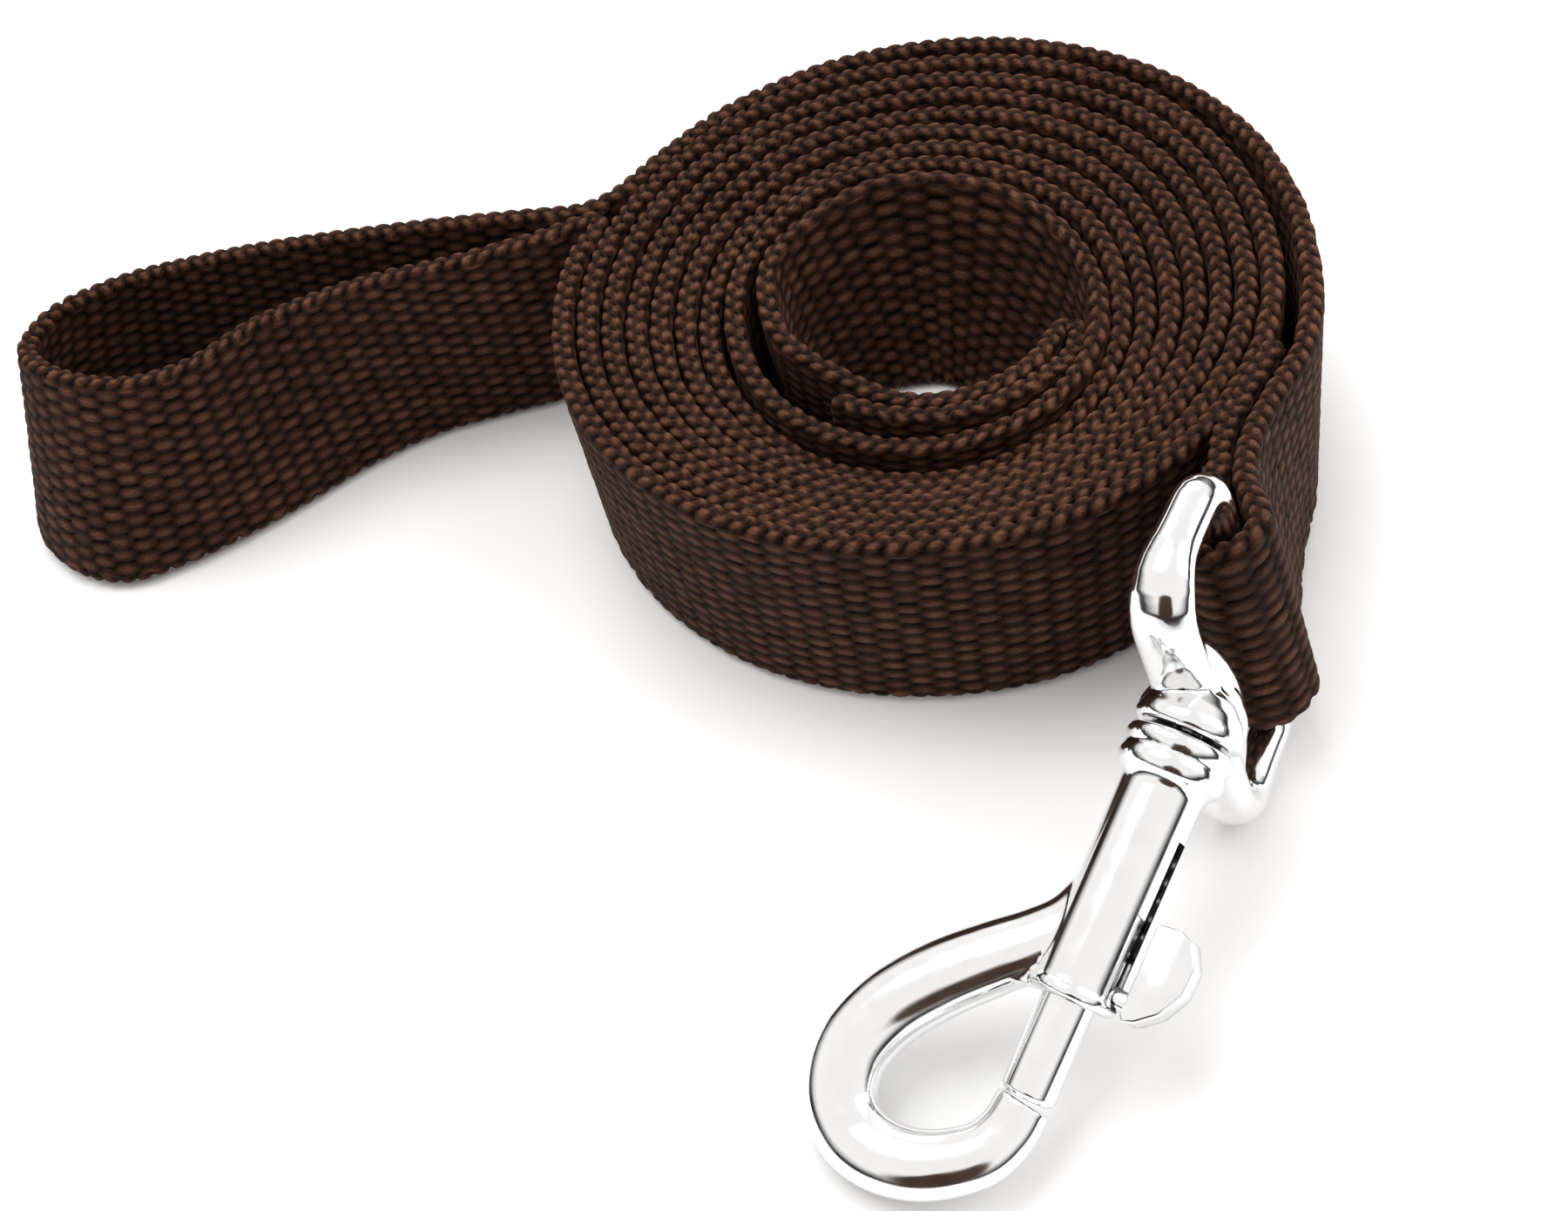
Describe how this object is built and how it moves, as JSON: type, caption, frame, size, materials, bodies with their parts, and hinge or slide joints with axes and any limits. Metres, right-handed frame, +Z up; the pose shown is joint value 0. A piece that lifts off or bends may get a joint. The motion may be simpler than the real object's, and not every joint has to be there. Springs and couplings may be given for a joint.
{
  "type": "training leash",
  "caption": "Flat webbing dog training leash wound into a standing coil, with a sewn hand loop and a swivelling spring bolt snap.",
  "frame": {"origin": "middle of the bounding box's underside, on the surface the leash rests on", "axes": "+Z up, along the coil's axis; +X along the longest side, from the hand loop towards the coil; -Y towards the snap"},
  "size_m": [0.1564, 0.1362, 0.0368],
  "materials": {
    "webbing": "dark chocolate brown nylon webbing in a pebbled weave, slightly shiny",
    "thread": "brown bonded sewing thread",
    "chrome": "bright nickel-plated zinc casting",
    "spring_steel": "plain spring steel"
  },
  "bodies": {
    "webbing": {"webbing_coil": "webbing", "hand_loop": "webbing", "snap_strap": "webbing", "loop_stitching": "thread", "snap_stitching": "thread"},
    "eye": {"swivel_eye": "chrome"},
    "snap": {"snap_body": "chrome", "seat_washer": "spring_steel", "bolt_spring": "spring_steel"},
    "bolt": {"bolt_plunger": "chrome", "thumb_stud": "chrome"}
  },
  "joints": [
    {"name": "eye_hinge", "type": "hinge", "parent": "webbing", "child": "eye", "pos_m": [0.06154, -0.02056, 0.0185], "axis": [-0.1962, 0.1101, 0.9744], "range_deg": [-40, 80]},
    {"name": "snap_swivel", "type": "hinge", "parent": "eye", "child": "snap", "pos_m": [0.0517, -0.03809, 0.0185], "axis": [-0.5326, -0.7549, -0.3827], "continuous": true},
    {"name": "bolt_slide", "type": "slide", "parent": "snap", "child": "bolt", "axis": [0.5326, 0.7549, 0.3827], "range_m": [0, 0.009], "stiffness_N_per_m": 400, "springref_m": -0.004, "deforming": ["bolt_spring"]}
  ]
}
